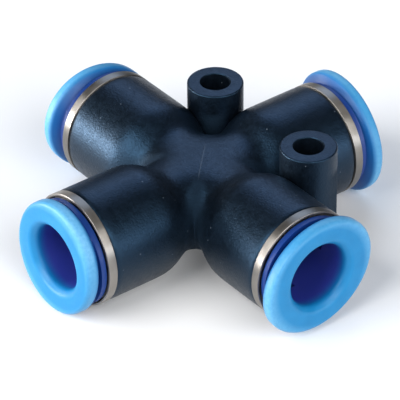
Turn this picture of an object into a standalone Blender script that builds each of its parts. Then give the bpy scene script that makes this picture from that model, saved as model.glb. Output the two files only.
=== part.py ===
"""Push-in cross fitting for 8 mm tube: a moulded cross housing with four tube sockets.

From the inside out each socket holds a seal ring, a support ring, a lock claw, a metal guide
ring and a release sleeve. The port axes are X and Y, they cross at the origin, and +Z is up.
A value that ends in AT is a distance from the crossing, along a port's axis.
"""

import math

import bmesh
import bpy
from mathutils import Matrix

MM = 0.001

# Facets round every turned piece. Nested pieces share the count, so their gaps stay even.
TURN_STEPS = 24
SEAL_STEPS = 8
SHOULDER_STEPS = 4
SMOOTH_ANGLE = math.radians(35.0)

# Clearances
SEAT_GAP = 0.05 * MM
RUNNING_GAP = 0.15 * MM

# Tube and socket
TUBE_RADIUS = 4.0 * MM
TUBE_GAP = 0.08 * MM
FLOW_RADIUS = 3.0 * MM
TUBE_STOP_AT = 5.0 * MM
TUBE_GUIDE_LENGTH = 4.5 * MM
HOUSING_WALL = 0.95 * MM
MOUTH_CHAMFER = 0.15 * MM

# Hub and arms
NECK_WALL = 1.42 * MM
SHOULDER_PAST_SEAL = 0.5 * MM
CROTCH_FILL = 1.82 * MM
HUB_CROWN = 0.05 * MM

# Mounting bosses, in the two crotches on the +Y side
BOSS_BESIDE_ARM_X = 1.95 * MM
BOSS_BESIDE_ARM_Y = 1.87 * MM
BOSS_PROUD = 0.58 * MM
BOSS_WALL = 1.66 * MM
BOSS_HOLE_RADIUS = 1.87 * MM
BOSS_CHAMFER = 0.2 * MM

# Seal ring
SEAL_CORD_RADIUS = 1.0 * MM
SEAL_SQUEEZE = 0.15 * MM

# Support ring and lock claw
SUPPORT_STEP = 0.35 * MM
SUPPORT_LIP = 0.35 * MM
CLAW_THICKNESS = 0.35 * MM
CLAW_RIM_WIDTH = 0.8 * MM
CLAW_BITE = 0.15 * MM
CLAW_TOOTH_DEPTH = 0.85 * MM
CLAW_SLOT_WIDTH = 0.9 * MM
CLAW_SLOT_PAST_ROOT = 0.2 * MM
CLAW_SLOTS = 8
CLAW_SLOT_TURN = 22.5

# Guide ring
BARREL_WALL = 0.45 * MM
BARREL_LENGTH = 4.2 * MM
LIP_LENGTH = 0.94 * MM
BAND_LENGTH = 1.14 * MM
BAND_CHAMFER = 0.1 * MM
MOUTH_WALL = 0.32 * MM

# Release sleeve
SLEEVE_TUBE_GAP = 0.15 * MM
SLEEVE_WALL = 0.85 * MM
SLEEVE_TRAVEL = 0.8 * MM
NOSE_GAP = 0.2 * MM
NOSE_TAPER = 0.3 * MM
LATCH_GAP = 0.1 * MM
LATCH_HEIGHT = 0.5 * MM
LATCH_LENGTH = 0.8 * MM
LATCH_RAMP = 0.4 * MM
COLLAR_STANDOFF = 0.07 * MM
PRESSED_GAP = 0.12 * MM
UNDERSIDE_LENGTH = 0.8 * MM
RIM_LENGTH = 1.5 * MM
RIM_EDGE = 0.3 * MM
FLANGE_OVERHANG = 0.8 * MM
FLANGE_FLAT = 0.18 * MM
BORE_LIP = 0.7 * MM
SLEEVE_SLOT_WIDTH = 0.8 * MM
SLEEVE_SLOT_PAST_LATCH = 0.3 * MM
SLEEVE_SLOTS = 4
SLEEVE_SLOT_TURN = 61.5

# Each port's name, the turn of its axis from +X, and how far round its oval sleeve stands
PORTS = (
    ("east", 0.0, 24.5),
    ("north", 90.0, 48.2),
    ("west", 180.0, 21.5),
    ("south", 270.0, 58.9),
)

# Radii that follow
TUBE_BORE = TUBE_RADIUS + TUBE_GAP
NECK_RADIUS = TUBE_BORE + NECK_WALL
SEAL_CENTRE_RADIUS = TUBE_RADIUS - SEAL_SQUEEZE + SEAL_CORD_RADIUS
SEAL_POCKET_RADIUS = SEAL_CENTRE_RADIUS + SEAL_CORD_RADIUS + SEAT_GAP
SOCKET_RADIUS = SEAL_POCKET_RADIUS + SUPPORT_STEP
ARM_RADIUS = SOCKET_RADIUS + HOUSING_WALL
INSERT_RADIUS = SOCKET_RADIUS - SEAT_GAP
CLAW_RADIUS = SOCKET_RADIUS - RUNNING_GAP
CLAW_ROOT_RADIUS = CLAW_RADIUS - CLAW_RIM_WIDTH
CLAW_TIP_RADIUS = TUBE_RADIUS - CLAW_BITE
BARREL_BORE = INSERT_RADIUS - BARREL_WALL
SLEEVE_BORE = TUBE_RADIUS + SLEEVE_TUBE_GAP
SLEEVE_RADIUS = SLEEVE_BORE + SLEEVE_WALL
LATCH_RADIUS = SLEEVE_RADIUS + LATCH_HEIGHT
LIP_RADIUS = SLEEVE_RADIUS + RUNNING_GAP
COUNTERBORE_RADIUS = ARM_RADIUS - MOUTH_WALL
COLLAR_RADIUS = COUNTERBORE_RADIUS - RUNNING_GAP
FLANGE_LONG_RADIUS = ARM_RADIUS + FLANGE_OVERHANG
FLANGE_SHORT_RADIUS = ARM_RADIUS - FLANGE_FLAT
HUB_RADIUS = NECK_RADIUS * math.sqrt(2.0) + CROTCH_FILL
HUB_HALF_HEIGHT = NECK_RADIUS + HUB_CROWN
BOSS_X = ARM_RADIUS + BOSS_BESIDE_ARM_X
BOSS_Y = ARM_RADIUS + BOSS_BESIDE_ARM_Y
BOSS_RADIUS = BOSS_HOLE_RADIUS + BOSS_WALL
BOSS_HALF_HEIGHT = ARM_RADIUS + BOSS_PROUD

# Stations that follow, from the crossing outwards
SEAL_AT = TUBE_STOP_AT + TUBE_GUIDE_LENGTH
SHOULDER_LENGTH = TUBE_GUIDE_LENGTH + SHOULDER_PAST_SEAL
SEAL_CENTRE_AT = SEAL_AT + SEAT_GAP + SEAL_CORD_RADIUS
SEAL_END_AT = SEAL_CENTRE_AT + SEAL_CORD_RADIUS + SEAT_GAP
SUPPORT_AT = SEAL_END_AT + SEAT_GAP
SUPPORT_END_AT = SUPPORT_AT + SUPPORT_LIP + CLAW_TOOTH_DEPTH
CLAW_AT = SUPPORT_END_AT + SEAT_GAP
BARREL_AT = CLAW_AT + CLAW_THICKNESS + SEAT_GAP
LIP_AT = BARREL_AT + BARREL_LENGTH
BAND_AT = LIP_AT + LIP_LENGTH
MOUTH_AT = BAND_AT - SEAT_GAP
BAND_FRONT_AT = BAND_AT + BAND_LENGTH
COLLAR_AT = BAND_FRONT_AT + COLLAR_STANDOFF
COUNTERBORE_AT = COLLAR_AT - SLEEVE_TRAVEL - SEAT_GAP
UNDERSIDE_AT = BAND_FRONT_AT + SLEEVE_TRAVEL + PRESSED_GAP
RIM_AT = UNDERSIDE_AT + UNDERSIDE_LENGTH
REACH = RIM_AT + RIM_LENGTH
NOSE_AT = BARREL_AT + SLEEVE_TRAVEL + NOSE_GAP
LATCH_FRONT_AT = LIP_AT - LATCH_GAP
LATCH_AT = LATCH_FRONT_AT - LATCH_LENGTH


def clear_scene():
    for item in list(bpy.data.objects):
        bpy.data.objects.remove(item, do_unlink=True)


def make_material(name, colour, roughness, metallic=0.0):
    material = bpy.data.materials.new(name)
    material.use_nodes = True
    shader = material.node_tree.nodes["Principled BSDF"]
    shader.inputs["Base Color"].default_value = (*colour, 1.0)
    shader.inputs["Roughness"].default_value = roughness
    shader.inputs["Metallic"].default_value = metallic
    return material


def new_mesh(name, shape, material):
    """Turn a finished bmesh into a smooth-shaded mesh with crisp corners."""
    bmesh.ops.recalc_face_normals(shape, faces=shape.faces)
    mesh = bpy.data.meshes.new(name)
    shape.to_mesh(mesh)
    shape.free()
    mesh.shade_smooth()
    mesh.set_sharp_from_angle(angle=SMOOTH_ANGLE)
    mesh.materials.append(material)
    return mesh


def turned(outline, closed=True):
    """Spin an outline of (station, radius) points round X, as one closed body.

    A closed outline makes a ring. An open one starts and ends on the axis.
    """
    shape = bmesh.new()
    points = [shape.verts.new((at, 0.0, radius)) for at, radius in outline]
    pairs = list(zip(points, points[1:]))
    if closed:
        pairs.append((points[-1], points[0]))
    edges = [shape.edges.new(pair) for pair in pairs]
    bmesh.ops.spin(
        shape, geom=points + edges, cent=(0.0, 0.0, 0.0), axis=(1.0, 0.0, 0.0),
        angle=2.0 * math.pi, steps=TURN_STEPS, use_merge=True)
    bmesh.ops.remove_doubles(shape, verts=shape.verts, dist=0.001 * MM)
    return shape


def through_bar(half_outline):
    """Turn a bar that runs both ways from the crossing, from the outline of one half."""
    end = half_outline[-1][0]
    near_half = [(-at, radius) for at, radius in reversed(half_outline)]
    return turned([(-end, 0.0)] + near_half + half_outline + [(end, 0.0)], closed=False)


def place(name, mesh, parent=None):
    piece = bpy.data.objects.new(name, mesh)
    piece.parent = parent
    bpy.context.scene.collection.objects.link(piece)
    return piece


def join_tool(body, tool, operation):
    """Add a tool body to a piece, or cut it away, and keep the tool itself hidden."""
    tool.hide_render = True
    tool.display_type = "WIRE"
    step = body.modifiers.new(tool.name, "BOOLEAN")
    step.operation = operation
    step.solver = "EXACT"
    step.object = tool


def arm_outline():
    """Outside of one arm: a neck, a shoulder that swells evenly, and a straight barrel."""
    points = []
    for step in range(SHOULDER_STEPS + 1):
        share = step / SHOULDER_STEPS
        swell = share * share * (3.0 - 2.0 * share)
        radius = NECK_RADIUS + (ARM_RADIUS - NECK_RADIUS) * swell
        points.append((TUBE_STOP_AT + SHOULDER_LENGTH * share, radius))
    points.append((MOUTH_AT - MOUTH_CHAMFER, ARM_RADIUS))
    points.append((MOUTH_AT, ARM_RADIUS - MOUTH_CHAMFER))
    return points


def bore_outline():
    """Inside of one arm: flow passage, tube bore, seal pocket and the socket for the rings."""
    return [
        (TUBE_STOP_AT, FLOW_RADIUS),
        (TUBE_STOP_AT, TUBE_BORE),
        (SEAL_AT, TUBE_BORE),
        (SEAL_AT, SEAL_POCKET_RADIUS),
        (SEAL_END_AT, SEAL_POCKET_RADIUS),
        (SEAL_END_AT, SOCKET_RADIUS),
        (MOUTH_AT + HOUSING_WALL, SOCKET_RADIUS),
    ]


def hub_core():
    """The flattened ball that fills the crotches between the four necks."""
    shape = bmesh.new()
    bmesh.ops.create_uvsphere(shape, u_segments=TURN_STEPS, v_segments=TURN_STEPS // 2, radius=1.0)
    bmesh.ops.scale(shape, vec=(HUB_RADIUS, HUB_RADIUS, HUB_HALF_HEIGHT), verts=shape.verts)
    return shape


def upright_post(outline, x):
    """A post turned round Z at one boss, from (height, radius) points."""
    shape = turned(outline, closed=False)
    bmesh.ops.rotate(shape, matrix=Matrix.Rotation(-math.pi / 2.0, 3, "Y"), verts=shape.verts)
    bmesh.ops.translate(shape, vec=(x, BOSS_Y, 0.0), verts=shape.verts)
    return shape


def boss_outline():
    top = BOSS_HALF_HEIGHT
    edge = BOSS_RADIUS - BOSS_CHAMFER
    side = top - BOSS_CHAMFER
    return [(-top, 0.0), (-top, edge), (-side, BOSS_RADIUS), (side, BOSS_RADIUS), (top, edge), (top, 0.0)]


def boss_hole_outline():
    end = BOSS_HALF_HEIGHT + BOSS_WALL
    return [(-end, 0.0), (-end, BOSS_HOLE_RADIUS), (end, BOSS_HOLE_RADIUS), (end, 0.0)]


def turn_to_y(shape):
    bmesh.ops.rotate(shape, matrix=Matrix.Rotation(math.pi / 2.0, 3, "Z"), verts=shape.verts)
    return shape


def make_housing(material):
    """The moulded cross: two crossing bars, the hub and the bosses, less their bores."""
    housing = place("housing", new_mesh("housing", through_bar(arm_outline()), material))
    added = {
        "arms_north_south": turn_to_y(through_bar(arm_outline())),
        "hub_core": hub_core(),
        "boss_east": upright_post(boss_outline(), BOSS_X),
        "boss_west": upright_post(boss_outline(), -BOSS_X),
    }
    cut = {
        "bore_east_west": through_bar(bore_outline()),
        "bore_north_south": turn_to_y(through_bar(bore_outline())),
        "boss_hole_east": upright_post(boss_hole_outline(), BOSS_X),
        "boss_hole_west": upright_post(boss_hole_outline(), -BOSS_X),
    }
    for tools, operation in ((added, "UNION"), (cut, "DIFFERENCE")):
        for name, shape in tools.items():
            join_tool(housing, place(name, new_mesh(name, shape, material), housing), operation)
    return housing


def seal_ring_mesh(material):
    outline = []
    for step in range(SEAL_STEPS):
        angle = 2.0 * math.pi * step / SEAL_STEPS
        at = SEAL_CENTRE_AT + SEAL_CORD_RADIUS * math.cos(angle)
        outline.append((at, SEAL_CENTRE_RADIUS + SEAL_CORD_RADIUS * math.sin(angle)))
    return new_mesh("seal_ring", turned(outline), material)


def support_ring_mesh(material):
    """A washer behind the seal, hollowed to a cone where the claw's teeth lean in."""
    outline = [
        (SUPPORT_AT, TUBE_BORE),
        (SUPPORT_AT, INSERT_RADIUS),
        (SUPPORT_END_AT, INSERT_RADIUS),
        (SUPPORT_END_AT, CLAW_ROOT_RADIUS + RUNNING_GAP),
        (SUPPORT_AT + SUPPORT_LIP, TUBE_BORE),
    ]
    return new_mesh("support_ring", turned(outline), material)


def lock_claw_mesh(material):
    """A spring washer: a flat rim, with teeth that lean inwards and bite the tube."""
    front = CLAW_AT + CLAW_THICKNESS
    outline = [
        (CLAW_AT, CLAW_RADIUS),
        (front, CLAW_RADIUS),
        (front, CLAW_ROOT_RADIUS),
        (front - CLAW_TOOTH_DEPTH, CLAW_TIP_RADIUS),
        (CLAW_AT - CLAW_TOOTH_DEPTH, CLAW_TIP_RADIUS),
        (CLAW_AT, CLAW_ROOT_RADIUS),
    ]
    return new_mesh("lock_claw", turned(outline), material)


def guide_ring_mesh(material):
    """A thin barrel pressed into the arm, with a lip that holds the sleeve and a proud band."""
    outline = [
        (BARREL_AT, BARREL_BORE),
        (BARREL_AT, INSERT_RADIUS),
        (BAND_AT, INSERT_RADIUS),
        (BAND_AT, ARM_RADIUS),
        (BAND_FRONT_AT - BAND_CHAMFER, ARM_RADIUS),
        (BAND_FRONT_AT, ARM_RADIUS - BAND_CHAMFER),
        (BAND_FRONT_AT, COUNTERBORE_RADIUS),
        (COUNTERBORE_AT, COUNTERBORE_RADIUS),
        (COUNTERBORE_AT, LIP_RADIUS),
        (LIP_AT, LIP_RADIUS),
        (LIP_AT, BARREL_BORE),
    ]
    return new_mesh("guide_ring", turned(outline), material)


def sleeve_outline():
    return [
        (NOSE_AT, SLEEVE_BORE),
        (NOSE_AT, SLEEVE_RADIUS - NOSE_TAPER),
        (NOSE_AT + NOSE_TAPER, SLEEVE_RADIUS),
        (LATCH_AT, SLEEVE_RADIUS),
        (LATCH_AT + LATCH_RAMP, LATCH_RADIUS),
        (LATCH_FRONT_AT, LATCH_RADIUS),
        (LATCH_FRONT_AT, SLEEVE_RADIUS),
        (COLLAR_AT, SLEEVE_RADIUS),
        (COLLAR_AT, COLLAR_RADIUS),
        (UNDERSIDE_AT, COLLAR_RADIUS),
        (RIM_AT, FLANGE_LONG_RADIUS),
        (REACH - RIM_EDGE, FLANGE_LONG_RADIUS),
        (REACH, FLANGE_LONG_RADIUS - RIM_EDGE),
        (REACH, SLEEVE_BORE + BORE_LIP),
        (REACH - BORE_LIP, SLEEVE_BORE),
    ]


def release_sleeve_mesh(material):
    """A slotted barrel with a latch ridge, and an oval flange to press on.

    The piece is turned round, and then its flange is narrowed across Z.
    """
    shape = turned(sleeve_outline())
    narrowing = FLANGE_LONG_RADIUS - FLANGE_SHORT_RADIUS
    for vert in shape.verts:
        radius = math.hypot(vert.co.y, vert.co.z)
        if radius > COLLAR_RADIUS + SEAT_GAP:
            vert.co.z *= 1.0 - narrowing / radius
    return new_mesh("release_sleeve", shape, material)


def cut_slots(piece, count, first, width, depth, start, end):
    """Saw slots across a ring from `first` degrees on: each flat cutter passes through both sides."""
    for index in range(count // 2):
        shape = bmesh.new()
        bmesh.ops.create_cube(shape, size=1.0)
        bmesh.ops.scale(shape, vec=(end - start, width, 2.0 * depth), verts=shape.verts)
        bmesh.ops.translate(shape, vec=((start + end) / 2.0, 0.0, 0.0), verts=shape.verts)
        turn = Matrix.Rotation(math.radians(first) + 2.0 * math.pi * index / count, 3, "X")
        bmesh.ops.rotate(shape, matrix=turn, verts=shape.verts)
        name = f"{piece.name}_slot_{index + 1}"
        tool = place(name, new_mesh(name, shape, piece.data.materials[0]), piece)
        join_tool(piece, tool, "DIFFERENCE")


def fill_port(name, turn, roll, meshes):
    """Put one socket's five pieces on the port's axis, under one empty."""
    port = place(f"port_{name}", None)
    port.rotation_euler.z = math.radians(turn)
    for kind in ("seal_ring", "support_ring", "guide_ring"):
        place(f"{kind}_{name}", meshes[kind], port)
    claw = place(f"lock_claw_{name}", meshes["lock_claw"], port)
    cut_slots(
        claw, CLAW_SLOTS, CLAW_SLOT_TURN, CLAW_SLOT_WIDTH, CLAW_ROOT_RADIUS + CLAW_SLOT_PAST_ROOT,
        CLAW_AT - CLAW_TOOTH_DEPTH - RUNNING_GAP, CLAW_AT + CLAW_THICKNESS + RUNNING_GAP)
    sleeve = place(f"release_sleeve_{name}", meshes["release_sleeve"], port)
    sleeve.rotation_euler.x = math.radians(roll)
    cut_slots(
        sleeve, SLEEVE_SLOTS, SLEEVE_SLOT_TURN, SLEEVE_SLOT_WIDTH, LATCH_RADIUS + RUNNING_GAP,
        NOSE_AT - RUNNING_GAP, LATCH_FRONT_AT + SLEEVE_SLOT_PAST_LATCH)


def build():
    clear_scene()
    black_plastic = make_material("black_plastic", (0.012, 0.016, 0.022), 0.55)
    nitrile_rubber = make_material("nitrile_rubber", (0.010, 0.010, 0.011), 0.75)
    white_plastic = make_material("white_plastic", (0.72, 0.72, 0.70), 0.50)
    spring_steel = make_material("spring_steel", (0.56, 0.55, 0.53), 0.30, 1.0)
    plated_brass = make_material("plated_brass", (0.66, 0.63, 0.60), 0.32, 1.0)
    blue_plastic = make_material("blue_plastic", (0.015, 0.300, 0.680), 0.35)
    meshes = {
        "seal_ring": seal_ring_mesh(nitrile_rubber),
        "support_ring": support_ring_mesh(white_plastic),
        "lock_claw": lock_claw_mesh(spring_steel),
        "guide_ring": guide_ring_mesh(plated_brass),
        "release_sleeve": release_sleeve_mesh(blue_plastic),
    }
    make_housing(black_plastic)
    for name, turn, roll in PORTS:
        fill_port(name, turn, roll, meshes)


build()
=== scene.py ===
"""Looks of a push-in cross fitting for 8 mm tube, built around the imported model."""

import math

import bpy
from mathutils import Matrix, Vector


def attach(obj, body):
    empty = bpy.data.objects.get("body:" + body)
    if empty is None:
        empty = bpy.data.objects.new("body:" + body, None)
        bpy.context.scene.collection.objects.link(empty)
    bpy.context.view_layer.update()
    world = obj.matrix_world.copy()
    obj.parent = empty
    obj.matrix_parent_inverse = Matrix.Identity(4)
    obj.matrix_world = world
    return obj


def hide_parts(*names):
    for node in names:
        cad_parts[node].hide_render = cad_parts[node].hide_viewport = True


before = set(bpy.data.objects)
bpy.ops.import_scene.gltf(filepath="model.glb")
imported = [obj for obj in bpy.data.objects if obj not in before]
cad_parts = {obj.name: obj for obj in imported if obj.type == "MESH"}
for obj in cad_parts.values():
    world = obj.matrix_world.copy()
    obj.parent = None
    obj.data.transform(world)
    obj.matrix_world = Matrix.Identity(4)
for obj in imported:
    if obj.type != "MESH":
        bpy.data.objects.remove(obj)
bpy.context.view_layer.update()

MM = 0.001
FULL_TURN = 2.0 * math.pi
ROUND_STEPS = 96
EDGE_STEPS = 5
MOUTH_EDGE_STEPS = 3
BOSS_STEPS = 64
SEAL_STEPS = 20
SMOOTH_ANGLE = math.radians(32.0)
SAME_PLACE = 1e-7
NEAR = 0.001 * MM

# Housing sizes. Where another piece fits, they are the frame's.
ARM_RADIUS = 7.2 * MM
MOUTH_AT = 18.39 * MM
MOUTH_EDGE = 0.06 * MM
TUBE_STOP_AT = 5.0 * MM
FLOW_RADIUS = 3.0 * MM
TUBE_BORE = 4.08 * MM
SEAL_AT = 9.5 * MM
SEAL_POCKET_RADIUS = 5.9 * MM
SEAL_END_AT = 11.6 * MM
SOCKET_RADIUS = 6.25 * MM
BOSS_X = 9.15 * MM
BOSS_Y = 9.07 * MM
BOSS_RADIUS = 3.53 * MM
BOSS_HOLE_RADIUS = 1.87 * MM
BOSS_HALF_HEIGHT = 7.78 * MM
BOSS_EDGE = 0.2 * MM
HOLE_CHAMFER = 0.1 * MM

# The cage that the cross body swells from: a hub block, then rings along each arm.
# A ring of eight corners swells to less than its cage, so the cage is larger by this factor.
RING_CAGE = 6.0 / (4.0 + math.sqrt(2.0))
BODY_LEVELS = 3
HUB_HALF = 5.6 * MM
HUB_CORNER = 4.35 * MM
HUB_SIDE = 6.55 * MM
CROTCH_SPREAD = 1.1
HUB_TOP = 5.45 * MM
HUB_RIDGE = 5.8 * MM
# Each ring's distance from the centre, and the arm's radius there
ARM_RINGS = (
    (6.7 * MM, 5.7 * MM),
    (8.2 * MM, 6.7 * MM),
    (9.7 * MM, ARM_RADIUS),
    (11.5 * MM, ARM_RADIUS),
    (18.0 * MM, ARM_RADIUS),
    (18.8 * MM, ARM_RADIUS),
)

# Rounded edges of the small pieces, and how far a slot's blade passes its work
BURR_EDGE = 0.05 * MM
FINE_EDGE = 0.08 * MM
PART_EDGE = 0.1 * MM
BEND_EDGE = 0.15 * MM
SOFT_EDGE = 0.2 * MM
LEAD_EDGE = 0.3 * MM
BLADE_SPARE = 0.15 * MM

# Seal, support ring and lock claw
SEAL_CORD_RADIUS = 1.0 * MM
SEAL_CENTRE_RADIUS = 4.85 * MM
SEAL_CENTRE_AT = 10.55 * MM
INSERT_RADIUS = 6.2 * MM
SUPPORT_AT = 11.65 * MM
SUPPORT_END_AT = 12.85 * MM
SUPPORT_LIP = 0.35 * MM
SUPPORT_STEP = 0.15 * MM
CLAW_AT = 12.9 * MM
CLAW_THICKNESS = 0.35 * MM
CLAW_RADIUS = 6.1 * MM
CLAW_ROOT_RADIUS = 5.3 * MM
CLAW_TIP_RADIUS = 3.85 * MM
CLAW_TOOTH_DEPTH = 0.85 * MM
CLAW_SLOT_WIDTH = 0.9 * MM
CLAW_SLOT_PAST_ROOT = 0.2 * MM
CLAW_SLOTS = 8

# Guide ring
BARREL_AT = 13.3 * MM
BARREL_BORE = 5.75 * MM
LIP_AT = 17.5 * MM
LIP_RADIUS = 5.15 * MM
BAND_AT = 18.44 * MM
BAND_FRONT_AT = 19.58 * MM
BAND_EDGE = 0.1 * MM
COUNTERBORE_AT = 18.8 * MM
COUNTERBORE_RADIUS = 6.88 * MM

# Release sleeve
SLEEVE_BORE = 4.15 * MM
SLEEVE_RADIUS = 5.0 * MM
NOSE_AT = 14.3 * MM
LATCH_AT = 16.6 * MM
LATCH_RAMP = 0.4 * MM
LATCH_FRONT_AT = 17.4 * MM
LATCH_RADIUS = 5.5 * MM
COLLAR_AT = 19.65 * MM
COLLAR_RADIUS = 6.73 * MM
UNDERSIDE_AT = 20.5 * MM
RIM_AT = 21.3 * MM
REACH = 22.8 * MM
FLANGE_LONG_RADIUS = 8.0 * MM
FLANGE_SHORT_RADIUS = 7.02 * MM
RIM_EDGE = 0.6 * MM
BORE_LIP = 0.7 * MM
BORE_LIP_EDGE = 0.3 * MM
SLEEVE_SLOT_WIDTH = 0.8 * MM
SLEEVE_SLOT_PAST_LATCH = 0.3 * MM
SLEEVE_SLOTS = 4
SLEEVE_SLOT_TURN = math.radians(61.5)

# Each port's name, the turn of its axis from +X, and how far round its oval sleeve stands
PORTS = (
    ("east", 0.0, 24.5),
    ("north", 90.0, 48.2),
    ("west", 180.0, 21.5),
    ("south", 270.0, 58.9),
)

ARM_WAYS = (
    Vector((1.0, 0.0, 0.0)),
    Vector((0.0, 1.0, 0.0)),
    Vector((-1.0, 0.0, 0.0)),
    Vector((0.0, -1.0, 0.0)),
)

# Camera and room
CAMERA_AZIMUTH = math.radians(52.43)
CAMERA_ELEVATION = math.radians(34.97)
CAMERA_ROLL = math.radians(-0.5)
CAMERA_DISTANCE = 400.87 * MM
CAMERA_SENSOR = 36.0
CAMERA_LENS = 294.1
AIM_ACROSS = -0.416 * MM
AIM_UP = -1.029 * MM
FLOOR_HALF = 1.5

# Most of a noise pattern lies between these two values.
NOISE_MIDDLE = {"From Min": 0.3, "From Max": 0.7}

# Housing plastic: colours, roughness, and the sizes of what shows in its skin. The sheen is
# the colour of its gloss. FIBRE_RARITY is the share of cells with no speck in them. A corner
# is dull from CORNER_FROM to CORNER_TO, each a distance beside the arm over a distance out.
PBT_DEEP = "#05080c"
PBT_PALE = "#090d13"
# Pale colour for the fibre specks, and for the painted highlight along the parting line
PBT_SPECK_AND_HIGHLIGHT = "#66717d"
PBT_SHEEN = "#89c7ff"
PBT_ROUGHNESS = {"To Min": 0.36, "To Max": 0.44}
PBT_CLOUD = 0.9 * MM
PBT_GRAIN = 0.25 * MM
PBT_GRAIN_DEPTH = 0.036 * MM
PBT_GRAIN_DULLING = {"To Min": -0.06, "To Max": 0.06}
PBT_RIPPLE = 1.1 * MM
PBT_RIPPLE_DEPTH = 0.020 * MM
FIBRE_SPACING = 0.9 * MM
FIBRE_SPECK = 0.09 * MM
FIBRE_RARITY = 0.86
FIBRE_SHOW = 0.5
CORNER_FROM = 0.66
CORNER_TO = 0.9
CORNER_HEIGHT = 4.5 * MM
CORNER_FADE = 0.9 * MM
CORNER_DULLING = 0.4
PARTING_WIDTH = 0.16 * MM
PARTING_MIDDLE = 0.75 * MM
PARTING_REACH = 2.7 * MM
PARTING_HEIGHT = 0.02 * MM
# How strongly a painted highlight lightens the parting line
PARTING_HIGHLIGHT = 0.35
PARTING_FADE_FROM = 0.6
PARTING_LEAST = 0.5

# Guide ring plating
NICKEL_DULL = "#8d8882"
NICKEL_BRIGHT = "#a09b95"
NICKEL_ROUGHNESS = {"To Min": 0.36, "To Max": 0.47}
NICKEL_PATCH = 2.2 * MM
TURNING_PITCH = 0.12 * MM
TURNING_DEPTH = 0.010 * MM
TURNING_DULLING = {"To Min": -0.04, "To Max": 0.06}

# Sleeve plastic. MIDDLE_FULL and FLANGE_FROM are levels of the painted shade mask, 0 in the bore and
# neck and 1 on the open flange: the half-shade colour is full at the one, and the flange's own colour
# starts at the other.
ACETAL_BRIGHT = "#0074aa"
ACETAL_PALE = "#127cb2"
# Painted shade: violet down the bore, deep blue round the neck, and a half shade under the flange and just
# inside the mouth
ACETAL_BORE_SHADE = "#28348a"
ACETAL_NECK_SHADE = "#0c3478"
ACETAL_HALF_SHADE = "#085c9c"
ACETAL_RUBBED = "#63a6cf"
ACETAL_ROUGHNESS = {"To Min": 0.36, "To Max": 0.46}
ACETAL_CLOUD = 2.4 * MM
MIDDLE_FULL = 0.6
FLANGE_FROM = 0.45
# Where the painted shade fades out, down the bore and past the neck
BORE_FADE = 2.6 * MM
BORE_SKIN = 0.1 * MM
FADE_END = 0.3 * MM
NECK_FADE = 0.5 * MM
RIM_WEAR_WIDTH = 0.6 * MM
SCRATCH_SIZE = 0.45 * MM
SCRATCH_DEPTH = 0.006 * MM
SCRATCH_DULLING = {"From Min": 0.4, "From Max": 0.7, "To Max": 0.08}
RUBBED_AMOUNT = {"From Min": 0.35, "From Max": 0.6, "To Min": 0.7}
SKIN_SIZE = 0.12 * MM
SKIN_DEPTH = 0.0015 * MM

# Seal rubber, support ring plastic and claw steel
RUBBER_DEEP = "#101011"
RUBBER_DUSTY = "#1d1d1e"
RUBBER_ROUGHNESS = {"To Min": 0.5, "To Max": 0.68}
RUBBER_BLOOM = 0.9 * MM
RUBBER_GRAIN = 0.1 * MM
RUBBER_GRAIN_DEPTH = 0.003 * MM
WHITE_CLEAN = "#dfded8"
WHITE_YELLOWED = "#d2cfc4"
WHITE_ROUGHNESS = {"To Min": 0.34, "To Max": 0.46}
WHITE_CLOUD = 1.8 * MM
WHITE_SKIN = 0.12 * MM
WHITE_SKIN_DEPTH = 0.002 * MM
STEEL_DULL = "#a19f9b"
STEEL_BRIGHT = "#b9b7b3"
STEEL_ROUGHNESS = {"To Min": 0.22, "To Max": 0.36}
ROLLING_LINE = 0.12 * MM
ROLLING_STRETCH = 0.15
ROLLING_DEPTH = 0.002 * MM

PAPER = "#f7f7f7"

# Soft lights: place, width and height in metres, power in watts, and colour
SOFTBOXES = (
    ("left_key_softbox", (0.05, -0.88, 0.66), (0.80, 0.80), 13.0, "#ffffff"),
    ("right_key_softbox", (0.93, -0.11, 0.57), (0.80, 0.80), 9.5, "#ffffff"),
    ("left_softbox", (-0.52, -0.58, 0.075), (0.60, 0.16), 8.0, "#ffffff"),
    ("right_softbox", (0.69, 0.40, 0.12), (0.40, 0.24), 1.9, "#eef5ff"),
    ("back_softbox", (-0.44, 0.40, 0.54), (0.50, 0.50), 1.7, "#c4dcff"),
)
ROOM_LIGHT = 0.05


# ---- Modelling by hand ----

def deselect_all():
    bpy.ops.object.select_all(action="DESELECT")


def make_active(piece):
    deselect_all()
    piece.select_set(True)
    bpy.context.view_layer.objects.active = piece


def apply_modifier(piece, kind, **settings):
    make_active(piece)
    modifier = piece.modifiers.new(kind.lower(), kind)
    for key, value in settings.items():
        setattr(modifier, key, value)
    bpy.ops.object.modifier_apply(modifier=modifier.name)


def apply_place(piece):
    make_active(piece)
    bpy.ops.object.transform_apply(location=True, rotation=True, scale=True)


def shade(piece):
    make_active(piece)
    bpy.ops.object.shade_smooth_by_angle(angle=SMOOTH_ANGLE)


def combine(piece, tool, operation):
    """Join a tool body to a piece, or cut it away, and drop the tool."""
    apply_modifier(piece, "BOOLEAN", operation=operation, solver="EXACT", object=tool)
    bpy.data.objects.remove(tool, do_unlink=True)


def select_verts(piece, test):
    """In edit mode, select just the vertices whose place passes the test."""
    bpy.ops.object.mode_set(mode="OBJECT")
    for part in (piece.data.vertices, piece.data.edges, piece.data.polygons):
        for item in part:
            item.select = False
    for vert in piece.data.vertices:
        vert.select = test(vert.co)
    bpy.ops.object.mode_set(mode="EDIT")
    bpy.ops.mesh.select_mode(type="VERT")


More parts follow.
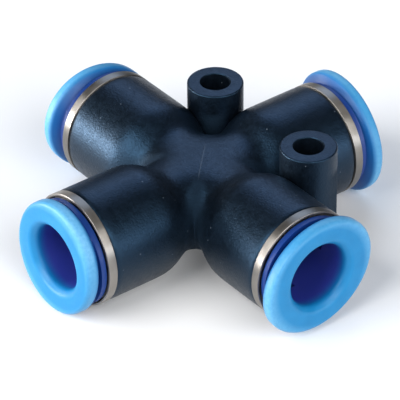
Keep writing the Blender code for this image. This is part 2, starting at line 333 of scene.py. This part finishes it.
def turned(name, outline, closed=True, steps=ROUND_STEPS):
    """Turn a piece as on a lathe: draw its outline point by point, then spin it round X.

    The outline holds (station, radius) or (station, radius, rounding) in metres.
    """
    deselect_all()
    first = outline[0]
    bpy.ops.mesh.primitive_plane_add(size=MM, location=(0.0, 0.0, 0.0))
    piece = bpy.context.object
    piece.name = name
    piece.data.name = name
    bpy.ops.object.mode_set(mode="EDIT")
    bpy.ops.mesh.select_all(action="SELECT")
    bpy.ops.mesh.merge(type="CENTER")
    bpy.ops.transform.translate(value=(first[0], 0.0, first[1]))
    for before, after in zip(outline, outline[1:]):
        move = (after[0] - before[0], 0.0, after[1] - before[1])
        bpy.ops.mesh.extrude_vertices_move(TRANSFORM_OT_translate={"value": move})
    if closed:
        ends = (Vector((first[0], 0.0, first[1])), Vector((outline[-1][0], 0.0, outline[-1][1])))
        select_verts(piece, lambda co: min((co - end).length for end in ends) < SAME_PLACE)
        bpy.ops.mesh.edge_face_add()
    for point in outline:
        if len(point) > 2:
            corner = Vector((point[0], 0.0, point[1]))
            select_verts(piece, lambda co: (co - corner).length < SAME_PLACE)
            bpy.ops.mesh.bevel(
                offset=point[2], segments=EDGE_STEPS, affect="VERTICES", offset_type="OFFSET")
    bpy.ops.mesh.select_all(action="SELECT")
    bpy.ops.mesh.spin(steps=steps, angle=FULL_TURN, center=(0.0, 0.0, 0.0), axis=(1.0, 0.0, 0.0))
    bpy.ops.mesh.select_all(action="SELECT")
    bpy.ops.mesh.remove_doubles(threshold=SAME_PLACE)
    bpy.ops.mesh.normals_make_consistent(inside=False)
    bpy.ops.object.mode_set(mode="OBJECT")
    return piece


# ---- Housing ----

def scaling(way, along, across):
    """Scale factors for a resize: one along an arm's direction, and one across it."""
    return Vector([along if abs(part) > 0.5 else across for part in way])


def grow_arm(piece, way):
    """Draw one arm out of the hub block along way, ring by ring."""
    across = Vector((0.0, 0.0, 1.0)).cross(way)
    patch_low = HUB_CORNER - NEAR
    patch_wide = max(HUB_HALF, HUB_SIDE) + NEAR
    select_verts(
        piece, lambda co: patch_low < co.dot(way) < patch_wide and abs(co.dot(across)) < patch_wide)
    station, radius = ARM_RINGS[0]
    bpy.ops.mesh.extrude_region_move()
    bpy.ops.transform.resize(value=scaling(way, 0.0, 1.0), center_override=way * station)
    select_verts(piece, lambda co: abs(co.dot(way) - station) < NEAR and (co - way * station).length > MM)
    bpy.ops.transform.tosphere(value=1.0)
    mean = (4.0 * HUB_CORNER * math.sqrt(2.0) + 2.0 * HUB_SIDE + 2.0 * HUB_RIDGE) / 8.0
    start = scaling(way, 1.0, radius * RING_CAGE / mean)
    bpy.ops.transform.resize(value=start, center_override=way * station)
    select_verts(piece, lambda co: abs(co.dot(way) - station) < NEAR)
    for next_station, next_radius in ARM_RINGS[1:]:
        step = way * (next_station - station)
        growth = scaling(way, 1.0, next_radius / radius)
        bpy.ops.mesh.extrude_region_move(TRANSFORM_OT_translate={"value": step})
        bpy.ops.transform.resize(value=growth, center_override=way * next_station)
        station, radius = next_station, next_radius
    first = ARM_RINGS[0][0]
    select_verts(piece, lambda co: abs(co.dot(way) - first) < NEAR and abs(co.z) < NEAR)
    bpy.ops.transform.resize(value=scaling(way, 1.0, CROTCH_SPREAD), center_override=way * first)


def set_out(piece, test, value):
    """Move the chosen corners of the hub block in or out from its centre."""
    select_verts(piece, test)
    bpy.ops.transform.resize(value=value, center_override=(0.0, 0.0, 0.0))


def cross_body():
    """The moulded cross without its bores: a block, swollen into a hub with four necked arms."""
    deselect_all()
    bpy.ops.mesh.primitive_cube_add(size=2.0 * HUB_HALF)
    piece = bpy.context.object
    bpy.ops.object.mode_set(mode="EDIT")
    bpy.ops.mesh.select_all(action="SELECT")
    bpy.ops.mesh.subdivide(number_cuts=1)
    corner = HUB_CORNER / HUB_HALF
    side = HUB_SIDE / HUB_HALF
    set_out(piece, lambda co: min(abs(co.x), abs(co.y), abs(co.z)) > NEAR, (corner, corner, corner))
    set_out(piece, lambda co: abs(co.x) + abs(co.y) < NEAR, (1.0, 1.0, HUB_TOP / HUB_HALF))
    set_out(
        piece, lambda co: (abs(co.x) < NEAR) != (abs(co.y) < NEAR) and abs(co.z) > NEAR,
        (1.0, 1.0, HUB_RIDGE / HUB_HALF))
    set_out(piece, lambda co: abs(co.z) < NEAR and min(abs(co.x), abs(co.y)) > NEAR, (side, side, 1.0))
    for way in ARM_WAYS:
        grow_arm(piece, way)
    bpy.ops.mesh.select_all(action="SELECT")
    bpy.ops.mesh.normals_make_consistent(inside=False)
    bpy.ops.object.mode_set(mode="OBJECT")
    apply_modifier(piece, "SUBSURF", levels=BODY_LEVELS, render_levels=BODY_LEVELS)
    return piece


def face_off_mouths(piece):
    """Cut each arm square at its mouth and break the edge."""
    for way in ARM_WAYS:
        make_active(piece)
        bpy.ops.object.mode_set(mode="EDIT")
        bpy.ops.mesh.select_all(action="SELECT")
        bpy.ops.mesh.bisect(plane_co=way * MOUTH_AT, plane_no=way, use_fill=True, clear_outer=True)
        bpy.ops.mesh.bevel(offset=MOUTH_EDGE, segments=MOUTH_EDGE_STEPS, affect="EDGES")
        bpy.ops.object.mode_set(mode="OBJECT")


def stand_up(piece, x):
    """Turn a lathe piece upright and carry it to its boss."""
    piece.rotation_euler = (0.0, -math.pi / 2.0, 0.0)
    piece.location = (x, BOSS_Y, 0.0)
    apply_place(piece)
    return piece


def boss_post(x):
    top = BOSS_HALF_HEIGHT
    outline = [
        (-top, 0.0),
        (-top, BOSS_RADIUS, BOSS_EDGE),
        (top, BOSS_RADIUS, BOSS_EDGE),
        (top, 0.0),
    ]
    return stand_up(turned("boss", outline, closed=False, steps=BOSS_STEPS), x)


def boss_drill(x):
    """The drill for a boss: a straight hole with a small countersink at both ends."""
    top = BOSS_HALF_HEIGHT
    wide = BOSS_HOLE_RADIUS + 2.0 * HOLE_CHAMFER
    outline = [
        (-top - HOLE_CHAMFER, 0.0),
        (-top - HOLE_CHAMFER, wide),
        (-top + HOLE_CHAMFER, BOSS_HOLE_RADIUS),
        (top - HOLE_CHAMFER, BOSS_HOLE_RADIUS),
        (top + HOLE_CHAMFER, wide),
        (top + HOLE_CHAMFER, 0.0),
    ]
    return stand_up(turned("drill", outline, closed=False, steps=BOSS_STEPS), x)


def bore_cutter(turn):
    """The core pins of two facing sockets, as one stepped bar right through."""
    half = [
        (TUBE_STOP_AT, FLOW_RADIUS),
        (TUBE_STOP_AT, TUBE_BORE),
        (SEAL_AT, TUBE_BORE),
        (SEAL_AT, SEAL_POCKET_RADIUS),
        (SEAL_END_AT, SEAL_POCKET_RADIUS),
        (SEAL_END_AT, SOCKET_RADIUS),
        (MOUTH_AT + MM, SOCKET_RADIUS),
    ]
    end = half[-1][0]
    outline = [(-end, 0.0)] + [(-at, radius) for at, radius in reversed(half)] + half + [(end, 0.0)]
    cutter = turned("bore", outline, closed=False)
    cutter.rotation_euler = (0.0, 0.0, turn)
    apply_place(cutter)
    return cutter


def make_housing():
    housing = cross_body()
    housing.name = "moulded_cross"
    face_off_mouths(housing)
    for x in (BOSS_X, -BOSS_X):
        combine(housing, boss_post(x), "UNION")
    for turn in (0.0, math.pi / 2.0):
        combine(housing, bore_cutter(turn), "DIFFERENCE")
    for x in (BOSS_X, -BOSS_X):
        combine(housing, boss_drill(x), "DIFFERENCE")
    return housing


# ---- Pieces in each socket ----

def make_seal():
    outline = []
    for step in range(SEAL_STEPS):
        angle = FULL_TURN * step / SEAL_STEPS
        at = SEAL_CENTRE_AT + SEAL_CORD_RADIUS * math.cos(angle)
        outline.append((at, SEAL_CENTRE_RADIUS + SEAL_CORD_RADIUS * math.sin(angle)))
    return turned("o_ring", outline)


def make_support():
    return turned("backing_ring", [
        (SUPPORT_AT, TUBE_BORE, BURR_EDGE),
        (SUPPORT_AT, INSERT_RADIUS, PART_EDGE),
        (SUPPORT_END_AT, INSERT_RADIUS, PART_EDGE),
        (SUPPORT_END_AT, CLAW_ROOT_RADIUS + SUPPORT_STEP, BURR_EDGE),
        (SUPPORT_AT + SUPPORT_LIP, TUBE_BORE, BURR_EDGE),
    ])


def slot_blade(name, width, depth, start, end, angle):
    """A flat saw blade that cuts two facing slots across a ring."""
    deselect_all()
    middle = ((start + end) / 2.0, 0.0, 0.0)
    bpy.ops.mesh.primitive_cube_add(size=1.0, location=middle, scale=(end - start, width, 2.0 * depth))
    blade = bpy.context.object
    blade.name = name
    apply_place(blade)
    blade.rotation_euler = (angle, 0.0, 0.0)
    apply_place(blade)
    return blade


def make_claw():
    front = CLAW_AT + CLAW_THICKNESS
    claw = turned("claw_washer", [
        (CLAW_AT, CLAW_RADIUS, BURR_EDGE),
        (front, CLAW_RADIUS, BURR_EDGE),
        (front, CLAW_ROOT_RADIUS, BEND_EDGE),
        (front - CLAW_TOOTH_DEPTH, CLAW_TIP_RADIUS),
        (CLAW_AT - CLAW_TOOTH_DEPTH, CLAW_TIP_RADIUS),
        (CLAW_AT, CLAW_ROOT_RADIUS, BEND_EDGE),
    ])
    for index in range(CLAW_SLOTS // 2):
        blade = slot_blade(
            "claw_slot", CLAW_SLOT_WIDTH, CLAW_ROOT_RADIUS + CLAW_SLOT_PAST_ROOT,
            CLAW_AT - CLAW_TOOTH_DEPTH - BLADE_SPARE, front + BLADE_SPARE,
            FULL_TURN * (index + 0.5) / CLAW_SLOTS)
        combine(claw, blade, "DIFFERENCE")
    return claw


def make_guide_ring():
    return turned("band_ring", [
        (BARREL_AT, BARREL_BORE, FINE_EDGE),
        (BARREL_AT, INSERT_RADIUS, FINE_EDGE),
        (BAND_AT, INSERT_RADIUS),
        (BAND_AT, ARM_RADIUS, BURR_EDGE),
        (BAND_FRONT_AT, ARM_RADIUS, BAND_EDGE),
        (BAND_FRONT_AT, COUNTERBORE_RADIUS, FINE_EDGE),
        (COUNTERBORE_AT, COUNTERBORE_RADIUS),
        (COUNTERBORE_AT, LIP_RADIUS, PART_EDGE),
        (LIP_AT, LIP_RADIUS, PART_EDGE),
        (LIP_AT, BARREL_BORE),
    ])


def make_sleeve():
    sleeve = turned("push_sleeve", [
        (NOSE_AT, SLEEVE_BORE, PART_EDGE),
        (NOSE_AT, SLEEVE_RADIUS, LEAD_EDGE),
        (LATCH_AT, SLEEVE_RADIUS),
        (LATCH_AT + LATCH_RAMP, LATCH_RADIUS, PART_EDGE),
        (LATCH_FRONT_AT, LATCH_RADIUS, PART_EDGE),
        (LATCH_FRONT_AT, SLEEVE_RADIUS),
        (COLLAR_AT, SLEEVE_RADIUS),
        (COLLAR_AT, COLLAR_RADIUS, PART_EDGE),
        (UNDERSIDE_AT, COLLAR_RADIUS, SOFT_EDGE),
        (RIM_AT, FLANGE_LONG_RADIUS, LEAD_EDGE),
        (REACH, FLANGE_LONG_RADIUS, RIM_EDGE),
        (REACH, SLEEVE_BORE + BORE_LIP, BORE_LIP_EDGE),
        (REACH - BORE_LIP, SLEEVE_BORE, BORE_LIP_EDGE),
    ])
    make_active(sleeve)
    select_verts(sleeve, lambda co: math.hypot(co.y, co.z) > COLLAR_RADIUS + BURR_EDGE)
    bpy.ops.transform.resize(
        value=(1.0, 1.0, FLANGE_SHORT_RADIUS / FLANGE_LONG_RADIUS), center_override=(0.0, 0.0, 0.0))
    bpy.ops.object.mode_set(mode="OBJECT")
    for index in range(SLEEVE_SLOTS // 2):
        blade = slot_blade(
            "sleeve_slot", SLEEVE_SLOT_WIDTH, LATCH_RADIUS + BLADE_SPARE,
            NOSE_AT - BLADE_SPARE, LATCH_FRONT_AT + SLEEVE_SLOT_PAST_LATCH,
            SLEEVE_SLOT_TURN + FULL_TURN * index / SLEEVE_SLOTS)
        combine(sleeve, blade, "DIFFERENCE")
    return sleeve


def port_copy(master, name, turn, roll=0.0):
    """A copy with its own mesh, turned about its port's axis and then swung to its port."""
    copy = master.copy()
    copy.data = master.data.copy()
    copy.name = f"{master.name}_{name}"
    copy.data.name = copy.name
    bpy.context.scene.collection.objects.link(copy)
    copy.rotation_euler = (math.radians(roll), 0.0, math.radians(turn))
    apply_place(copy)
    return copy


# ---- Finishes ----

def linear(hex_colour):
    """An sRGB hex colour as linear red, green, blue and full alpha."""
    channels = [int(hex_colour[start:start + 2], 16) / 255.0 for start in (1, 3, 5)]
    return [c / 12.92 if c <= 0.04045 else ((c + 0.055) / 1.055) ** 2.4 for c in channels] + [1.0]


def add_node(tree, kind, inputs, output=0, **settings):
    """Add one shader node with its settings and links, and return one of its outputs.

    Each input is a value, or the output socket that feeds it. A Mix node's colour sockets
    share their names with others, so they go by number: 0 is the amount, 6 and 7 are the
    colours in, and 2 is the colour out.
    """
    node = tree.nodes.new("ShaderNode" + kind)
    for key, value in settings.items():
        setattr(node, key, value)
    for key, value in inputs.items():
        if isinstance(value, bpy.types.NodeSocket):
            tree.links.new(value, node.inputs[key])
        else:
            node.inputs[key].default_value = value
    return node.outputs[output]


def new_finish(name, **shader_values):
    """A material with its shader, and each point's own position for a pattern to read."""
    material = bpy.data.materials.new(name)
    material.use_nodes = True
    tree = material.node_tree
    shader = tree.nodes["Principled BSDF"]
    for key, value in shader_values.items():
        shader.inputs[key.replace("_", " ")].default_value = value
    here = add_node(tree, "TexCoord", {}, "Object")
    return material, tree, shader, here


def drive(tree, shader, **patterns):
    """Let a pattern drive each of these shader inputs."""
    for key, pattern in patterns.items():
        tree.links.new(pattern, shader.inputs[key.replace("_", " ")])


def mottled(tree, pattern, first, second):
    """Two colours, clouded into each other by a noise pattern."""
    amount = add_node(tree, "MapRange", {"Value": pattern, **NOISE_MIDDLE})
    return add_node(tree, "Mix", {0: amount, 6: linear(first), 7: linear(second)}, 2, data_type="RGBA")


def port_place(tree, here):
    """How far a point lies out along its port, beside the port's axis, and above or below it."""
    size = add_node(tree, "VectorMath", {0: here}, operation="ABSOLUTE")
    parts = add_node(tree, "SeparateXYZ", {0: size}).node.outputs
    station = add_node(tree, "Math", {0: parts["X"], 1: parts["Y"]}, operation="MAXIMUM")
    beside = add_node(tree, "Math", {0: parts["X"], 1: parts["Y"]}, operation="MINIMUM")
    return station, beside, parts["Z"]


def axis_distance(tree, beside, height):
    flat = add_node(tree, "CombineXYZ", {"X": beside, "Y": height})
    return add_node(tree, "VectorMath", {0: flat}, "Value", operation="LENGTH")


def port_axis(tree, here):
    """The direction of the port that a point is nearest to."""
    size = add_node(tree, "VectorMath", {0: here}, operation="ABSOLUTE")
    parts = add_node(tree, "SeparateXYZ", {0: size}).node.outputs
    east_west = add_node(tree, "Math", {0: parts["X"], 1: parts["Y"]}, operation="GREATER_THAN")
    north_south = add_node(tree, "Math", {0: 1.0, 1: east_west}, operation="SUBTRACT")
    return add_node(tree, "CombineXYZ", {"X": east_west, "Y": north_south})


def fibre_specks(tree, here):
    """1 where a fibre end breaks the skin and 0 elsewhere: one cell in a few holds a small dot."""
    distance = add_node(tree, "TexVoronoi", {"Vector": here, "Scale": 1.0 / FIBRE_SPACING})
    cell = add_node(tree, "SeparateColor", {"Color": distance.node.outputs["Color"]}, "Red")
    rare = add_node(tree, "Math", {0: cell, 1: FIBRE_RARITY}, operation="GREATER_THAN")
    close = add_node(tree, "Math", {0: distance, 1: FIBRE_SPECK / FIBRE_SPACING}, operation="LESS_THAN")
    return add_node(tree, "Math", {0: rare, 1: close}, operation="MULTIPLY")


def dull_corners(tree, here):
    """1 low in the corners between the arms, fading to 0 along the arms and up to the hub's top."""
    station, beside, height = port_place(tree, here)
    between = add_node(tree, "Math", {0: beside, 1: station}, operation="DIVIDE")
    deep = add_node(tree, "MapRange", {"Value": between, "From Min": CORNER_FROM, "From Max": CORNER_TO})
    low = add_node(tree, "MapRange", {
        "Value": height, "From Min": CORNER_HEIGHT, "From Max": CORNER_HEIGHT + CORNER_FADE,
        "To Min": 1.0, "To Max": 0.0})
    return add_node(tree, "Math", {0: deep, 1: low}, operation="MULTIPLY")


def parting_line(tree, here, cloud):
    """1 along the tool's parting line over the top of the hub, weaker where wear has broken it."""
    parts = add_node(tree, "SeparateXYZ", {0: here}).node.outputs
    across = add_node(tree, "Math", {0: parts["X"], 1: parts["Y"]}, operation="ADD")
    across = add_node(tree, "Math", {0: across}, operation="ABSOLUTE")
    line = add_node(tree, "MapRange", {
        "Value": across, "From Max": PARTING_WIDTH, "To Min": 1.0, "To Max": 0.0})
    along = add_node(tree, "Math", {0: parts["X"], 1: PARTING_MIDDLE}, operation="SUBTRACT")
    along = add_node(tree, "Math", {0: along}, operation="ABSOLUTE")
    fade = add_node(tree, "MapRange", {
        "Value": along, "From Min": PARTING_FADE_FROM * PARTING_REACH,
        "From Max": PARTING_REACH, "To Min": 1.0, "To Max": 0.0})
    top = add_node(tree, "Math", {0: parts["Z"], 1: 0.0}, operation="GREATER_THAN")
    wear_and_painted_light = add_node(tree, "MapRange", {"Value": cloud, **NOISE_MIDDLE, "To Min": PARTING_LEAST})
    for part in (fade, top, wear_and_painted_light):
        line = add_node(tree, "Math", {0: line, 1: part}, operation="MULTIPLY")
    return line


def glass_filled_pbt():
    """PBT with glass fibre, injection moulded against a fine spark-eroded tool.

    The fibre leaves a satin skin whose faintly blue gloss catches light softly, mottled where it froze at
    different times and dull in the corners between the arms, where a tool can't be
    polished. A few fibre ends break the surface as pale specks, and the hub shows a
    faint raised line where the two halves of the tool met, lightened by a painted highlight along it. The
    grain and the specks are drawn coarser and deeper than real ones, so that they show.
    """
    material, tree, shader, here = new_finish(
        "glass_filled_pbt", IOR=1.55, Specular_Tint=linear(PBT_SHEEN))
    cloud = add_node(tree, "TexNoise", {"Vector": here, "Scale": 1.0 / PBT_CLOUD, "Detail": 3.0})
    grain = add_node(tree, "TexNoise", {"Vector": here, "Scale": 1.0 / PBT_GRAIN, "Roughness": 0.6})
    ripple = add_node(tree, "TexNoise", {"Vector": here, "Scale": 1.0 / PBT_RIPPLE})
    line = parting_line(tree, here, cloud)

    skin = mottled(tree, cloud, PBT_DEEP, PBT_PALE)
    # Pale fibre specks, and a painted highlight along the parting line
    for mark, show in ((fibre_specks(tree, here), FIBRE_SHOW), (line, PARTING_HIGHLIGHT)):
        amount = add_node(tree, "Math", {0: mark, 1: show}, operation="MULTIPLY")
        skin = add_node(tree, "Mix", {0: amount, 6: skin, 7: linear(PBT_SPECK_AND_HIGHLIGHT)}, 2, data_type="RGBA")

    rough = add_node(tree, "MapRange", {"Value": cloud, **NOISE_MIDDLE, **PBT_ROUGHNESS})
    fine = add_node(tree, "MapRange", {"Value": grain, **NOISE_MIDDLE, **PBT_GRAIN_DULLING})
    rough = add_node(tree, "Math", {0: rough, 1: fine}, operation="ADD")
    rough = add_node(tree, "Math", {
        0: dull_corners(tree, here), 1: CORNER_DULLING, 2: rough}, operation="MULTIPLY_ADD")

    relief = add_node(tree, "Bump", {"Height": ripple, "Distance": PBT_RIPPLE_DEPTH})
    relief = add_node(tree, "Bump", {"Height": grain, "Distance": PBT_GRAIN_DEPTH, "Normal": relief})
    relief = add_node(tree, "Bump", {"Height": line, "Distance": PARTING_HEIGHT, "Normal": relief})
    drive(tree, shader, Base_Color=skin, Roughness=rough, Normal=relief)
    return material


def nickel_plated_brass():
    """Brass turned in a lathe and nickel plated.

    The plating is a warm grey, and it follows the fine rings left by the turning tool, so
    a highlight spreads into a band across the ring. Handling has dulled it in patches.
    The turning lines are drawn coarser than real ones, so that they show.
    """
    material, tree, shader, here = new_finish("nickel_plated_brass", Metallic=1.0, Anisotropic=0.85)
    station, beside, height = port_place(tree, here)
    lathe = add_node(tree, "CombineXYZ", {"X": station, "Y": axis_distance(tree, beside, height)})
    lines = add_node(tree, "TexNoise", {
        "Vector": lathe, "Scale": 1.0 / TURNING_PITCH, "Roughness": 0.7})
    patches = add_node(tree, "TexNoise", {"Vector": here, "Scale": 1.0 / NICKEL_PATCH, "Detail": 3.0})
    wear_and_painted_light = add_node(tree, "MapRange", {"Value": patches, **NOISE_MIDDLE, **NICKEL_ROUGHNESS})
    cut = add_node(tree, "MapRange", {"Value": lines, **NOISE_MIDDLE, **TURNING_DULLING})
    drive(tree, shader,
          Base_Color=mottled(tree, patches, NICKEL_DULL, NICKEL_BRIGHT),
          Roughness=add_node(tree, "Math", {0: wear_and_painted_light, 1: cut}, operation="ADD"),
          Normal=add_node(tree, "Bump", {"Height": lines, "Distance": TURNING_DEPTH}),
          Tangent=port_axis(tree, here))
    return material


def sleeve_painted_shade(tree, station, outside):
    """Painted shade as a mask: 0 in the shaded bore and neck, 1 on the open, lit flange."""
    mouth = add_node(tree, "MapRange", {
        "Value": station, "From Min": REACH - BORE_FADE, "From Max": REACH - FADE_END})
    past_neck = add_node(tree, "MapRange", {
        "Value": station, "From Min": UNDERSIDE_AT, "From Max": RIM_AT + NECK_FADE})
    open_side = add_node(tree, "Math", {0: outside, 1: mouth}, operation="MAXIMUM")
    return add_node(tree, "Math", {0: open_side, 1: past_neck}, operation="MULTIPLY")


def blue_acetal():
    """Acetal (POM) coloured in the mass, moulded in a polished tool.

    Waxy, with a soft gloss. Thumbs have worn the open flange paler, mottled and finely
    scratched. Painted shade darkens its colour around the neck and under the flange, and turns it violet
    down the bore.
    """
    material, tree, shader, here = new_finish("blue_acetal", IOR=1.48, Specular_IOR_Level=0.4)
    station, beside, height = port_place(tree, here)
    radius = axis_distance(tree, beside, height)
    cloud = add_node(tree, "TexNoise", {"Vector": here, "Scale": 1.0 / ACETAL_CLOUD, "Detail": 3.0})
    scratches = add_node(tree, "TexNoise", {
        "Vector": here, "Scale": 1.0 / SCRATCH_SIZE, "Detail": 4.0, "Roughness": 0.6})
    moulded = add_node(tree, "TexNoise", {"Vector": here, "Scale": 1.0 / SKIN_SIZE})

    rim = add_node(tree, "MapRange", {
        "Value": radius, "From Min": FLANGE_SHORT_RADIUS - RIM_WEAR_WIDTH, "From Max": FLANGE_LONG_RADIUS})
    handled = add_node(tree, "MapRange", {"Value": scratches, **RUBBED_AMOUNT})
    rubbed = add_node(tree, "Math", {0: rim, 1: handled}, operation="MULTIPLY")
    flange = add_node(tree, "Mix", {
        0: rubbed, 6: mottled(tree, cloud, ACETAL_BRIGHT, ACETAL_PALE),
        7: linear(ACETAL_RUBBED)}, 2, data_type="RGBA")
    outside = add_node(tree, "MapRange", {
        "Value": radius, "From Min": SLEEVE_BORE + BORE_SKIN, "From Max": SLEEVE_BORE + BORE_LIP})
    # Painted shade: 0 where the bore, neck and flange underside are painted darker, 1 on the open flange
    wear_and_painted_light = sleeve_painted_shade(tree, station, outside)
    colour = add_node(tree, "Mix", {
        0: outside, 6: linear(ACETAL_BORE_SHADE), 7: linear(ACETAL_NECK_SHADE)}, 2, data_type="RGBA")
    # Lighter colours step in as the painted shade lifts: first the half shade, then the flange's own
    # colour
    for start, full, paler in (
            (0.0, MIDDLE_FULL, linear(ACETAL_HALF_SHADE)), (FLANGE_FROM, 1.0, flange)):
        amount = add_node(tree, "MapRange", {"Value": wear_and_painted_light, "From Min": start, "From Max": full})
        colour = add_node(tree, "Mix", {0: amount, 6: colour, 7: paler}, 2, data_type="RGBA")

    rough = add_node(tree, "MapRange", {"Value": cloud, **NOISE_MIDDLE, **ACETAL_ROUGHNESS})
    scratched = add_node(tree, "MapRange", {"Value": scratches, **SCRATCH_DULLING})
    rough = add_node(tree, "Math", {0: rough, 1: scratched}, operation="ADD")
    relief = add_node(tree, "Bump", {"Height": scratches, "Distance": SCRATCH_DEPTH})
    relief = add_node(tree, "Bump", {"Height": moulded, "Distance": SKIN_DEPTH, "Normal": relief})
    drive(tree, shader, Base_Color=colour, Roughness=rough, Normal=relief)
    return material


def nitrile_rubber():
    """Nitrile rubber, compression moulded: dull black, with a dusty bloom."""
    material, tree, shader, here = new_finish("nitrile_rubber", IOR=1.52)
    bloom = add_node(tree, "TexNoise", {
        "Vector": here, "Scale": 1.0 / RUBBER_BLOOM, "Detail": 4.0, "Roughness": 0.65})
    grain = add_node(tree, "TexNoise", {"Vector": here, "Scale": 1.0 / RUBBER_GRAIN})
    drive(tree, shader,
          Base_Color=mottled(tree, bloom, RUBBER_DEEP, RUBBER_DUSTY),
          Roughness=add_node(tree, "MapRange", {"Value": bloom, **NOISE_MIDDLE, **RUBBER_ROUGHNESS}),
          Normal=add_node(tree, "Bump", {"Height": grain, "Distance": RUBBER_GRAIN_DEPTH}))
    return material


def white_acetal():
    """Natural white acetal (POM), moulded: waxy, with faint yellowish clouds."""
    material, tree, shader, here = new_finish("white_acetal", IOR=1.48)
    cloud = add_node(tree, "TexNoise", {"Vector": here, "Scale": 1.0 / WHITE_CLOUD, "Detail": 3.0})
    moulded = add_node(tree, "TexNoise", {"Vector": here, "Scale": 1.0 / WHITE_SKIN})
    drive(tree, shader,
          Base_Color=mottled(tree, cloud, WHITE_CLEAN, WHITE_YELLOWED),
          Roughness=add_node(tree, "MapRange", {"Value": cloud, **NOISE_MIDDLE, **WHITE_ROUGHNESS}),
          Normal=add_node(tree, "Bump", {"Height": moulded, "Distance": WHITE_SKIN_DEPTH}))
    return material


def spring_steel():
    """Stainless spring strip, rolled bright and stamped: its grain follows the rolling."""
    material, tree, shader, here = new_finish("spring_steel", Metallic=1.0)
    rolled = add_node(tree, "VectorMath", {0: here, 1: (1.0, 1.0, ROLLING_STRETCH)}, operation="MULTIPLY")
    streaks = add_node(tree, "TexNoise", {
        "Vector": rolled, "Scale": 1.0 / ROLLING_LINE, "Detail": 3.0, "Roughness": 0.6})
    drive(tree, shader,
          Base_Color=mottled(tree, streaks, STEEL_DULL, STEEL_BRIGHT),
          Roughness=add_node(tree, "MapRange", {"Value": streaks, **NOISE_MIDDLE, **STEEL_ROUGHNESS}),
          Normal=add_node(tree, "Bump", {"Height": streaks, "Distance": ROLLING_DEPTH}))
    return material


def studio_paper():
    """Seamless paper roll: matt, pale and even."""
    return new_finish("studio_paper", Base_Color=linear(PAPER), Roughness=0.9, Specular_IOR_Level=0.2)[0]


# ---- Assembly ----

def finish_piece(piece, material, body, node):
    piece.data.materials.clear()
    piece.data.materials.append(material)
    shade(piece)
    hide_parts(node)
    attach(piece, body)


def build_fitting():
    finish_piece(make_housing(), glass_filled_pbt(), "fitting", "housing")
    kinds = (
        (make_seal(), "seal_ring", nitrile_rubber(), "nitrile_rubber", "fitting"),
        (make_support(), "support_ring", white_acetal(), "white_plastic", "fitting"),
        (make_guide_ring(), "guide_ring", nickel_plated_brass(), "plated_brass", "fitting"),
        (make_claw(), "lock_claw", spring_steel(), "spring_steel", "claw"),
        (make_sleeve(), "release_sleeve", blue_acetal(), "blue_plastic", "sleeve"),
    )
    for master, node, material, slot, body in kinds:
        for name, turn, roll in PORTS:
            copy = port_copy(master, name, turn, roll if body == "sleeve" else 0.0)
            owner = body if body == "fitting" else f"{body}_{name}"
            finish_piece(copy, material, owner, f"{node}_{name}")
        bpy.data.objects.remove(master, do_unlink=True)


# ---- Room ----

def view_axes():
    """The camera's right, up and backward directions."""
    backward = Vector((
        math.sin(CAMERA_AZIMUTH) * math.cos(CAMERA_ELEVATION),
        -math.cos(CAMERA_AZIMUTH) * math.cos(CAMERA_ELEVATION),
        math.sin(CAMERA_ELEVATION)))
    level = Vector((math.cos(CAMERA_AZIMUTH), math.sin(CAMERA_AZIMUTH), 0.0))
    rise = backward.cross(level)
    right = math.cos(CAMERA_ROLL) * level + math.sin(CAMERA_ROLL) * rise
    up = -math.sin(CAMERA_ROLL) * level + math.cos(CAMERA_ROLL) * rise
    return right, up, backward


def add_camera():
    right, up, backward = view_axes()
    data = bpy.data.cameras.new("camera")
    data.sensor_width = CAMERA_SENSOR
    data.lens = CAMERA_LENS
    camera = bpy.data.objects.new("camera", data)
    bpy.context.scene.collection.objects.link(camera)
    place = backward * CAMERA_DISTANCE + right * AIM_ACROSS + up * AIM_UP
    turn = Matrix((right, up, backward)).transposed()
    camera.matrix_world = Matrix.Translation(place) @ turn.to_4x4()
    bpy.context.scene.camera = camera


def add_floor():
    deselect_all()
    bpy.ops.mesh.primitive_plane_add(size=2.0 * FLOOR_HALF, location=(0.0, 0.0, -BOSS_HALF_HEIGHT))
    floor = bpy.context.object
    floor.name = "studio_floor"
    floor.data.materials.append(studio_paper())


def add_softbox(name, place, size, power, colour):
    """A soft panel of light at `place`, turned to face the fitting."""
    data = bpy.data.lights.new(name, "AREA")
    data.shape = "RECTANGLE"
    data.size, data.size_y = size
    data.energy = power
    data.color = linear(colour)[:3]
    light = bpy.data.objects.new(name, data)
    bpy.context.scene.collection.objects.link(light)
    light.location = place
    light.rotation_euler = Vector(place).to_track_quat("Z", "Y").to_euler()


def light_room():
    for name, place, size, power, colour in SOFTBOXES:
        add_softbox(name, place, size, power, colour)
    world = bpy.data.worlds.new("studio")
    world.use_nodes = True
    world.node_tree.nodes["Background"].inputs["Color"].default_value = linear("#ffffff")
    world.node_tree.nodes["Background"].inputs["Strength"].default_value = ROOM_LIGHT
    bpy.context.scene.world = world
    bpy.context.scene.view_settings.view_transform = "Standard"


build_fitting()
add_floor()
light_room()
add_camera()
